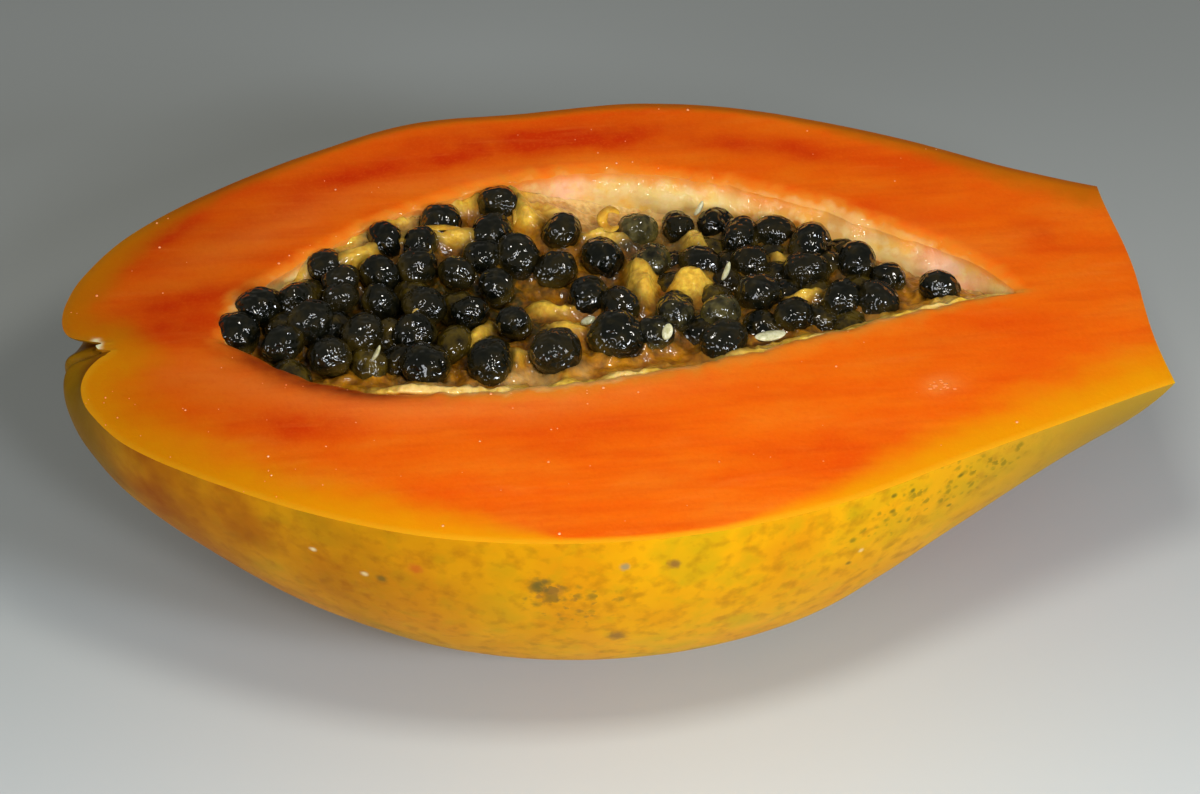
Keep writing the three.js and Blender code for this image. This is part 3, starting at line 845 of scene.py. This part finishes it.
# The bed is drawn in from the wall by as much as the wall curves in at the pulp's own height.
across_share = np.linspace(1, -1, PULP_COLUMNS + 1)
to_front = half_width * (1 + across_share)
to_back = half_width * (1 - across_share)
bed = xyz(back_rim[:, :1], middle_y + half_width * across_share, 0)
bed_z, bed_relief, beside_seed = pulp_top(bed, to_front, to_back)
bed_z = np.maximum(bed_z, CUT_HEIGHT - 0.9 * pulp_deep)
sunk = np.clip((CUT_HEIGHT - bed_z) / pulp_deep, 0, 0.95)
bed = xyz(back_rim[:, :1], middle_y + half_width * across_share * np.sqrt(1 - sunk**2), bed_z)
under_share = np.linspace(0, 1, PULP_SIDES + 1)
edge_angle = np.arcsin(sunk[:, [0, -1]])
under_angle = edge_angle[:, :1] * (1 - under_share) + (math.pi - edge_angle[:, 1:]) * under_share
under_z = CUT_HEIGHT - pulp_deep * np.sin(under_angle)
under = xyz(back_rim[:, :1], middle_y + half_width * np.cos(under_angle), under_z)
under[:, [0, -1]] = bed[:, [0, -1]]

# The underside gets as many columns as the top, so that both close at the ends.
bottom_share = np.linspace(0, 1, PULP_COLUMNS + 1)
bed_bottom = np.array([[np.interp(bottom_share, under_share, line) for line in row.T] for row in under])
bed_bottom = np.moveaxis(bed_bottom, 1, 2)
bed_bottom[:, [0, -1]] = bed[:, [0, -1]]

# Cream skin of the wall sticks to the pulp along its edges, in patches.
bed_x, bed_y = along_and_across(bed)
front_cream = bell(to_front, 0, 3.0 + 4.0 * bell(bed_x, 64, 15)) * smooth_step(bed_x, 40, 50)
front_cream *= 1 - 0.5 * within(bed_x, 76, 88, 100, 110)
patchy = smooth_step(relief(bed * FLAT, 4.0, 21.0), -0.3, 0.4)
bed_fields = {
    "cream": patchy * (front_cream + bell(to_back, 0, 3.0))
    + 1.1 * bell(to_back, 0, 8.0) * within(bed_x, 70, 76, 92, 108),
    "golden": smooth_step(bed_relief, 1.4, 3.0),
    # painted shade in the recesses between the folds
    "low": 1 - smooth_step(bed_relief, -1.0, 0.5),
    # painted shadow and dark jelly beside each seed
    "beside_seed": beside_seed * 0.85,
    "olive": np.minimum(1.2, patches(OLIVE_AND_SHADE_BEDS, bed_x, bed_y)),
}

# Papaya pulp: jelly and strands, wet all over, so it is glossy and its folds are lit through.
PULP_SAFFRON = "#9a5a04"
PULP_AMBER = "#d48a0c"
PULP_GOLD = "#fccc48"
PULP_CREAM = "#f6cf84"
PULP_OLIVE = "#3a2e08"
PULP_RECESS_SHADE = "#7a5208"


def papaya_pulp():
    material, add, place = new_material("papaya_pulp")
    folds = add("TexNoise", grain(place, 2, 4.0))
    colour = add("ValToRGB", [folds], stops=[(0.38, PULP_SAFFRON), (0.6, PULP_AMBER)])
    flecks = add("TexNoise", grain(place, 0.9, 3.0))
    uneven = add("MapRange", [flecks, 0.35, 0.65, 0.45, 1.0])
    # Painted shade darkens the low places, the olive beds and the pulp beside each seed.
    for field, tint in (("low", PULP_RECESS_SHADE), ("olive", PULP_OLIVE), ("golden", PULP_GOLD),
                        ("cream", PULP_CREAM), ("beside_seed", PULP_OLIVE)):
        colour = tinted(add, colour, tint, field, uneven)
    threads = add("TexNoise", grain(place, 0.8, 4.0))
    film = add("TexNoise", grain(place, 0.9, 0.0))
    shader = add("BsdfPrincipled", {
        "Base Color": colour, "Roughness": 0.5, "IOR": 1.38, "Specular IOR Level": 0.2,
        "Normal": add("Bump", {"Height": threads, "Strength": 0.6, "Distance": 0.3 * MM}),
        "Coat Weight": 0.8, "Coat Roughness": 0.05,
        "Coat Normal": add("Bump", {"Height": film, "Strength": 1.0, "Distance": 0.4 * MM}),
        "Subsurface Weight": 0.4, "Subsurface Radius": (1.0, 0.6, 0.15), "Subsurface Scale": 1.5 * MM})
    add("OutputMaterial", [shader])
    return material


pulp = build_piece("seed_pulp", [
    (bed, 0, bed_fields),
    (bed_bottom, 0, {}),
    (np.stack([bed[0], bed_bottom[0]]), 0, {}),
    (np.stack([bed[-1], bed_bottom[-1]]), 0, {}),
], [papaya_pulp()])
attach(pulp, "root")
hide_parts("seed_heap")


# ---- Seeds ---------------------------------------------------------------------------------------
# Papaya seeds, six to eight millimetres long in their sacks: a hard wrinkled black coat in clear
# wet jelly that clings to the wrinkles, so each seed glitters. A few still have a thick dull sack.

SEED_ROUND = 46
SEED_TALL = 30
WRINKLE_DEPTH = 0.15
WRINKLE_SIZE = 1.3
LUMP_DEPTH = 0.4
LUMP_SIZE = 2.6
KINDS = 6
BELOW_COUNT = 80
BELOW_SINK = 2.3
BELOW_SIZE = 0.9
BELOW_TILT = 0.5
BELOW_TRIES = 900
BELOW_CLEAR = 3.4  # from a seed above
BELOW_APART = 4.4
FOLD_CLEAR = 1.5  # height of a fold that leaves no room for a seed
BELOW_BEDS = [(46, 5, 17, 10), (103, 10, 15, 11)]  # middle and reach, along and across
SACK_SLACK = 0.12  # of the sack, drawn tight onto the coat
DULL_PLACES = [(86.2, 15.7), (85, 25.1), (94.6, 1.2), (87.8, 1.7), (84.6, -1.8)]
DULL_REACH = 1.6
WALL_CLEARANCE = 2.3
TONE_STEP = 0.37  # from one seed to the next, so that neighbours differ


def ball(rows, columns):
    """A unit ball as a grid, with its poles on the X axis."""
    rise = np.linspace(0, math.pi, rows + 1)[:, None]
    turn = np.linspace(0, 2 * math.pi, columns + 1)
    points = xyz(np.cos(rise), np.sin(rise) * np.cos(turn), np.sin(rise) * np.sin(turn))
    points[:, -1] = points[:, 0]
    return points


def turned(points, *angles):
    """Points turned about X, then Y, then Z."""
    return points @ np.array(Euler(angles).to_matrix()).T


def wrinkled_seed(kind):
    """One seed round the origin, its long way along X, with its coat's wrinkles."""
    sphere = ball(SEED_TALL, SEED_ROUND)
    shape = sphere * (np.array([SEED_LENGTH, SEED_WIDTH, SEED_HEIGHT]) / 2 - SACK_SLACK)
    ridges = 1 - 2 * np.abs(relief(shape * [0.75, 1, 1], WRINKLE_SIZE, 11.0 * kind + 1))
    lumps = relief(shape, LUMP_SIZE, 7.0 * kind + 2)
    return shape + sphere * (WRINKLE_DEPTH * ridges + LUMP_DEPTH * lumps)[..., None]


seed_kinds = [wrinkled_seed(kind) for kind in range(KINDS)]


def seed_grids(places, shapes, roll):
    """Each seed as a grid of points with its own tone, and jelly on all but a bare patch."""
    grids = []
    for i, (place, (scale, tilt, turn)) in enumerate(zip(places, shapes)):
        outward = turned(turned(seed_kinds[i % KINDS], roll * i, 0, 0) * scale, tilt, tilt, turn)
        tone = (i * TONE_STEP) % 1.0
        bare = np.array([0.5 * math.sin(5.1 * i) + 0.1, 0.35 * math.cos(3.7 * i) - 0.45, 0.85])
        facing = outward @ bare / np.linalg.norm(bare) / np.linalg.norm(outward, axis=-1)
        jelly = 1 - smooth_step(facing, -0.05, 0.35 + 0.3 * tone)
        grids.append((outward + place, 0, {"tone": tone, "jelly": jelly}))
    return grids


def clear_of_wall(place):
    """A seed's place, moved in where the sack would cut into the flesh."""
    x, y, z = place
    t = np.interp(x, cavity_rim[:, 0], fine_t)
    back_y, front_y = (float(section_point(CAVITY, t, a, CAVITY_RIDGE)[1]) for a in (0, math.pi))
    inset = min(WALL_CLEARANCE, (back_y - front_y) / 2)
    return x, min(max(y, front_y + inset), back_y - inset), z


# Wet papaya seed coat: nearly black with a green-brown cast, hard and wrinkled under clear jelly.
COAT_BLACK = "#060804"
COAT_DARK = "#12120a"
COAT_BROWN = "#1c180a"
SACK_BROWN = "#41340f"
SACK_OLIVE = "#544a1c"
DULL_COAT = ("#14130a", "#38331c", "#5e5632")  # dark, middle and light
SUNK_COAT = (COAT_BLACK, "#2c230b", "#53430f")


def wet_seed_coat(name, dark, middle, light, roughness, jelly_colour=SACK_BROWN):
    material, add, place = new_material(name)
    mottle = add("TexNoise", grain(place, 1.6, 3.0))
    tone = add("Math", ["tone", 0.35, mottle], operation="MULTIPLY_ADD")
    colour = add("ValToRGB", [tone], stops=[(0.45, dark), (0.66, middle), (0.9, light)])
    thick = add("Math", [mottle, 1.1, -0.55], operation="MULTIPLY_ADD")
    thick = add("Math", ["jelly", thick], operation="ADD")
    thick = add("Math", [thick, 0.8], operation="MULTIPLY", use_clamp=True)
    wrinkles = add("TexVoronoi", {"Vector": place, "Scale": 1 / (0.8 * MM)}, feature="SMOOTH_F1")
    film = add("TexNoise", grain(place, 0.8, 0.0))
    shader = add("BsdfPrincipled", {
        "Base Color": add("Mix", [thick, colour, jelly_colour]),
        "Roughness": roughness, "IOR": 1.4, "Specular IOR Level": 0.0,
        "Normal": add("Bump", {"Height": wrinkles, "Strength": 0.8, "Distance": 0.25 * MM}),
        "Coat Weight": 1.0, "Coat Roughness": 0.03, "Coat IOR": 1.5,
        "Coat Normal": add("Bump", {"Height": film, "Strength": 1.0, "Distance": 0.46 * MM})})
    add("OutputMaterial", [shader])
    return material


seed_places = [clear_of_wall(place) for place in seed_places]
is_dull = [
    min(math.hypot(x + CENTRE - a, y - MIDDLE_LINE - b) for a, b in DULL_PLACES) < DULL_REACH
    for x, y, _ in seed_places
]
black_coat = wet_seed_coat("papaya_seed_black", COAT_BLACK, COAT_DARK, COAT_BROWN, 0.4)
dull_coat = wet_seed_coat("papaya_seed_dull", *DULL_COAT, 0.5, SACK_OLIVE)
sunk_coat = wet_seed_coat("papaya_seed_sunk", *SUNK_COAT, 0.45)
top_seeds = []
for name, wanted, roll, coat in (("seeds_black", False, 1.9, black_coat),
                                 ("seeds_dull", True, 1.3, dull_coat)):
    places = [p for p, dull in zip(seed_places, is_dull) if dull == wanted]
    shapes = [s for s, dull in zip(seed_shapes, is_dull) if dull == wanted]
    top_seeds.append(build_piece(name, seed_grids(places, shapes, roll), [coat]))

# A second layer of seeds fills the gaps where the strings lie close.
below_places, below_shapes = [], []
for _ in range(BELOW_TRIES):
    middle_x, middle_y, reach_x, reach_y = BELOW_BEDS[int(next(draw) * len(BELOW_BEDS))]
    x = middle_x + stray(reach_x) - CENTRE
    y = middle_y + stray(reach_y) + MIDDLE_LINE
    clear = min(math.hypot(x - a, y - b) for a, b, _ in seed_places) > BELOW_CLEAR
    apart = all(math.hypot(x - a, y - b) > BELOW_APART for a, b, _ in below_places)
    golden = patches(PULP_FOLDS, np.array(x + CENTRE), np.array(y - MIDDLE_LINE)) > FOLD_CLEAR
    if clear and apart and not golden and len(below_places) < BELOW_COUNT:
        below_places.append(clear_of_wall((x, y, pulp_height(x, y) - BELOW_SINK + SEED_RISE)))
        below_shapes.append((BELOW_SIZE, BELOW_TILT * next(draw), math.pi * next(draw)))
seeds_below = build_piece("seeds_below", seed_grids(below_places, below_shapes, 0.7), [sunk_coat])
for seeds in (*top_seeds, seeds_below):
    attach(seeds, "root")
    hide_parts("seed_heap")


# ---- Torn strands --------------------------------------------------------------------------------
# Threads and folds of pulp that tore when the fruit was split, golden or cream.
# They lie over the seeds and along the rim, and cling there because they are wet.

STRAND_SIDES = 8
STRAND_STEPS = 22
FILM_FLATNESS = 0.35
STRANDS = [  # first x and y, last x and y, bow, depth below the cut, radius, share of cream
    (31, 15.4, 36.4, 21.2, 0.4, 0.8, 0.9, 0.8),
    (50, 4.4, 52.8, 5.8, 0.3, 0.8, 0.3, 0.4),
    (49.4, 22.4, 60.4, 22, 0.9, 0.2, 0.7, 0),
    (66.4, 25.6, 68.4, 31, 0.6, 1.6, 0.7, 0.1),
]
END_DIP = 1.6  # of both ends of a strand below its middle
STRAND_STRAY = 0.3
STRAND_LUMPS = [(1.4, 0.35, 3.0)]
STRAND_GOLD = [(1.6, 0.6, 4.0)]
CURL_PLACE = (80.9, 24.0)
CURL_RADIUS = 1.35
CURL_DEPTH = 1.4
CURL_THICKNESS = 0.95
CURL_RISE = 0.8
CURL_ENDS = (0.4, 5.6)  # radians


def strand_grid(path, radius, cream):
    """A thread of pulp along a path, thin at both ends and a little flat."""
    along = np.gradient(path, axis=0)
    along /= np.linalg.norm(along, axis=1, keepdims=True)
    sideways = np.cross(along, [0, 0, 1.0])
    upward = FILM_FLATNESS * np.cross(sideways, along)
    share = np.linspace(0, 1, len(path))
    thick = radius * np.sin(math.pi * share) ** 0.5 * (1 + bumps(path, STRAND_LUMPS))
    turn = np.linspace(0, 2 * math.pi, STRAND_SIDES + 1)[:, None]
    around = sideways[:, None] * np.cos(turn) + upward[:, None] * np.sin(turn)
    points = path[:, None] + thick[:, None, None] * around
    return points, 0, {"cream": cream, "golden": 0.5 + bumps(points, STRAND_GOLD)}


def strand_path(x0, y0, x1, y1, bow, depth):
    share = np.linspace(0, 1, STRAND_STEPS + 1)
    path = xyz(
        x0 + (x1 - x0) * share - CENTRE,
        y0 + (y1 - y0) * share + bow * np.sin(math.pi * share) + MIDDLE_LINE,
        CUT_HEIGHT - depth - END_DIP * (2 * share - 1) ** 4,
    )
    return path + STRAND_STRAY * xyz(*(relief(path, 2.2, seed) for seed in (1.0, 5.0, 9.0)))


curl_turn = np.linspace(*CURL_ENDS, STRAND_STEPS + 1)
curl_path = xyz(
    CURL_PLACE[0] + CURL_RADIUS * np.cos(curl_turn) - CENTRE,
    CURL_PLACE[1] + CURL_RADIUS * np.sin(curl_turn) + MIDDLE_LINE,
    CUT_HEIGHT - CURL_DEPTH + CURL_RISE * np.sin(curl_turn),
)
strand_grids = [strand_grid(strand_path(*row[:6]), *row[6:]) for row in STRANDS]
strand_grids.append(strand_grid(curl_path, CURL_THICKNESS, 0.0))
strands = build_piece("torn_strands", strand_grids, [papaya_pulp()])
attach(strands, "root")
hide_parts("seed_heap")


# ---- Undeveloped seeds ---------------------------------------------------------------------------
# A few seeds never filled out: flat pale slivers of skin among the black ones.

SLIVERS = [  # x, y, depth below the cut, half length, half width, half thickness, lean, turn in degrees
    (96.3, 8.7, 0.1, 1.7, 0.5, 0.4, 72, 10), (86.2, -4.6, -0.3, 1.2, 0.8, 0.35, 50, 60),
    (94, 23.8, 0.2, 1.5, 0.7, 0.4, 66, -20), (100.9, -5.7, 0.7, 2.3, 1, 0.5, 0, 8),
    (44.6, -4.6, 0.4, 1.5, 0.5, 0.3, 65, 0), (75.3, 0.6, 1.1, 1.1, 0.75, 0.5, 20, 0),
]
SLIVER_SIDES = 16
SLIVER_BOW = 0.08


def sliver_grid(x, y, depth, length, width, thickness, lean, turn):
    points = ball(SLIVER_SIDES, SLIVER_SIDES)
    points[..., 2] = thickness * points[..., 2] + SLIVER_BOW * length * points[..., 0] ** 2
    points = turned(points * [length, width, 1], 0, -math.radians(lean), math.radians(turn))
    return points + [x - CENTRE, y + MIDDLE_LINE, CUT_HEIGHT - depth], 0, {}


# Thin damp seed skin, nearly white with a touch of green, a little see-through.
SKIN_GREENISH = "#b9b684"
SKIN_WHITE = "#dcd9b4"
SKIN_CREAM = "#eadcb0"


def pale_seed_skin():
    material, add, place = new_material("pale_seed_skin")
    mottle = add("TexNoise", grain(place, 0.7, 3.0))
    colour = add("ValToRGB", [mottle], stops=[(0.35, SKIN_GREENISH), (0.6, SKIN_WHITE), (0.8, SKIN_CREAM)])
    shader = add("BsdfPrincipled", {
        "Base Color": colour,
        "Normal": add("Bump", {"Height": mottle, "Strength": 0.5, "Distance": 0.15 * MM}),
        "Roughness": 0.35, "IOR": 1.4, "Coat Weight": 0.6, "Coat Roughness": 0.1,
        "Subsurface Weight": 0.3, "Subsurface Radius": (1.0, 0.9, 0.6), "Subsurface Scale": 0.8 * MM})
    add("OutputMaterial", [shader])
    return material


slivers = build_piece("undeveloped_seeds", [sliver_grid(*row) for row in SLIVERS], [pale_seed_skin()])
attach(slivers, "root")
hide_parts("seed_heap")


# ---- Juice beads ---------------------------------------------------------------------------------
# Small beads of juice that stand on the fresh cut and each catch the lamp.

BEAD_COUNT = 110
FIRST_BEAD_ROW = 70  # none stand near the navel
LAST_BEAD_ROW = SKIN_STEPS - 20
BEAD_MARGIN = 3  # columns
BEAD_RADIUS = (0.08, 0.24)
BEAD_SINK = 0.25  # of its radius, into the flesh
BEAD_SIDES = 12
BEAD_SHAPE = (1, 1, 0.9)
WET_SPOT = (123.5, -19.5)  # where juice has run together
WET_COUNT = 16
WET_REACH = (3.8, 2.0)
WET_RADIUS = (0.08, 0.22)
WET_SINK = 0.1
WET_SHAPE = (1.6, 1, 0.6)


def bead_grids():
    bead = np.roll(ball(BEAD_SIDES, BEAD_SIDES), -1, axis=-1)
    grids = []
    for i in range(BEAD_COUNT):
        cut = front_cut if i % 3 else back_cut
        row = FIRST_BEAD_ROW + int(next(draw) * (LAST_BEAD_ROW - FIRST_BEAD_ROW))
        column = BEAD_MARGIN + int(next(draw) * (CUT_STEPS - 2 * BEAD_MARGIN))
        radius = BEAD_RADIUS[0] + (BEAD_RADIUS[1] - BEAD_RADIUS[0]) * next(draw) ** 3
        place = cut[row, column] - [0, 0, BEAD_SINK * radius]
        grids.append((bead * radius * BEAD_SHAPE + place, 0, {}))
    face = front_cut.reshape(-1, 3)
    for _ in range(WET_COUNT):
        x = WET_SPOT[0] - CENTRE + WET_REACH[0] * (next(draw) - 0.5)
        y = WET_SPOT[1] + MIDDLE_LINE + WET_REACH[1] * (next(draw) - 0.5)
        radius = WET_RADIUS[0] + (WET_RADIUS[1] - WET_RADIUS[0]) * next(draw)
        z = face[np.argmin(np.hypot(face[:, 0] - x, face[:, 1] - y)), 2]
        grids.append((bead * radius * WET_SHAPE + [x, y, z - WET_SINK * radius], 0, {}))
    return grids


# Papaya juice: pale orange, paler than the flesh as a painted highlight, with a clear wet shine.
JUICE_CORAL = "#fb8a45"
JUICE_PALE = "#ffb27a"


def papaya_juice():
    material, add, place = new_material("papaya_juice")
    shade = add("TexNoise", grain(place, 9))
    shader = add("BsdfPrincipled", {
        "Base Color": add("ValToRGB", [shade], stops=[(0.35, JUICE_CORAL), (0.65, JUICE_PALE)]),
        "Roughness": 0.3, "IOR": 1.34, "Coat Weight": 1.0, "Coat Roughness": 0.03, "Coat IOR": 1.5})
    add("OutputMaterial", [shader])
    return material


beads = build_piece("juice_beads", bead_grids(), [papaya_juice()])
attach(beads, "root")
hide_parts("papaya_half")


# ---- Floor, lights and camera --------------------------------------------------------------------
# A plain pale table whose colour is painted darker away from the front as painted light falloff, a soft lamp
# overhead and three low ones.
# The camera looks down at the cut face from the front with a long lens.

FLOOR_SIZE = 6.0
CARD_NEAR = "#eef5f7"
CARD_MIDDLE = "#c4cac9"
CARD_FAR = "#83837f"
floor_mesh = bpy.data.meshes.new("floor")
floor_corners = [(x * FLOOR_SIZE, y * FLOOR_SIZE, 0) for x, y in ((-1, -1), (1, -1), (1, 1), (-1, 1))]
floor_mesh.from_pydata(floor_corners, [], [(0, 1, 2, 3)])
floor = bpy.data.objects.new("floor", floor_mesh)
bpy.context.scene.collection.objects.link(floor)
matt_card, add, place = new_material("matt_card")
distance = add("MapRange", [add("SeparateXYZ", [place]).outputs["Y"], -0.13, 0.3])
# Painted light falloff: the card's colour goes from pale near the fruit to dark grey far behind it.
card_painted_falloff = add("ValToRGB", [distance], stops=[(0.0, CARD_NEAR), (0.3, CARD_MIDDLE), (1.0, CARD_FAR)])
add("OutputMaterial", [add("BsdfPrincipled", {
    "Base Color": card_painted_falloff, "Roughness": 0.8, "Specular IOR Level": 0.1})])
floor_mesh.materials.append(matt_card)


def add_lamp(name, place, target, size, power, colour):
    """A square lamp that faces its target; places and size in metres."""
    data = bpy.data.lights.new(name, "AREA")
    data.size = size
    data.energy = power
    data.color = to_linear(colour)[:3]
    lamp = bpy.data.objects.new(name, data)
    lamp.location = place
    lamp.rotation_euler = (Vector(target) - Vector(place)).to_track_quat("-Z", "Y").to_euler()
    lamp.visible_camera = False
    bpy.context.scene.collection.objects.link(lamp)


add_lamp("overhead", (0.02, -0.11, 0.225), (0.02, -0.05, 0.05), 0.035, 0.18, "#fffaf2")
add_lamp("key", (0.5, -0.545, 0.4), (0.0, 0.0, 0.04), 0.13, 2.9, "#eff5ff")
add_lamp("flash", (0.1, -0.5, 0.42), (0.0, 0.0, 0.04), 0.08, 0.8, "#f6f9ff")
add_lamp("fill", (-0.55, -0.6, 0.3), (0.0, -0.1, 0.0), 0.3, 2.6, "#f6f9ff")

world = bpy.data.worlds.new("studio")
world.use_nodes = True
sky = world.node_tree.nodes["Background"].inputs
sky["Color"].default_value = to_linear("#d2d0c4")
sky["Strength"].default_value = 0.26
bpy.context.scene.world = world
bpy.context.scene.view_settings.view_transform = "Standard"

AZIMUTH = math.radians(-5.4)
ELEVATION = math.radians(41)
DISTANCE = 0.56
LOOK_AT = Vector((-0.0028, -0.019, 0.050))
LENS = 119.7
SENSOR_WIDTH = 36
camera_data = bpy.data.cameras.new("camera")
camera_data.lens = LENS
camera_data.sensor_width = SENSOR_WIDTH
camera_data.clip_start = 0.01
camera_data.clip_end = 50
camera = bpy.data.objects.new("camera", camera_data)
level = math.cos(ELEVATION)
away = Vector((math.sin(AZIMUTH) * level, -math.cos(AZIMUTH) * level, math.sin(ELEVATION)))
camera.location = LOOK_AT + away * DISTANCE
camera.rotation_euler = (-away).to_track_quat("-Z", "Y").to_euler()
bpy.context.scene.collection.objects.link(camera)
bpy.context.scene.camera = camera
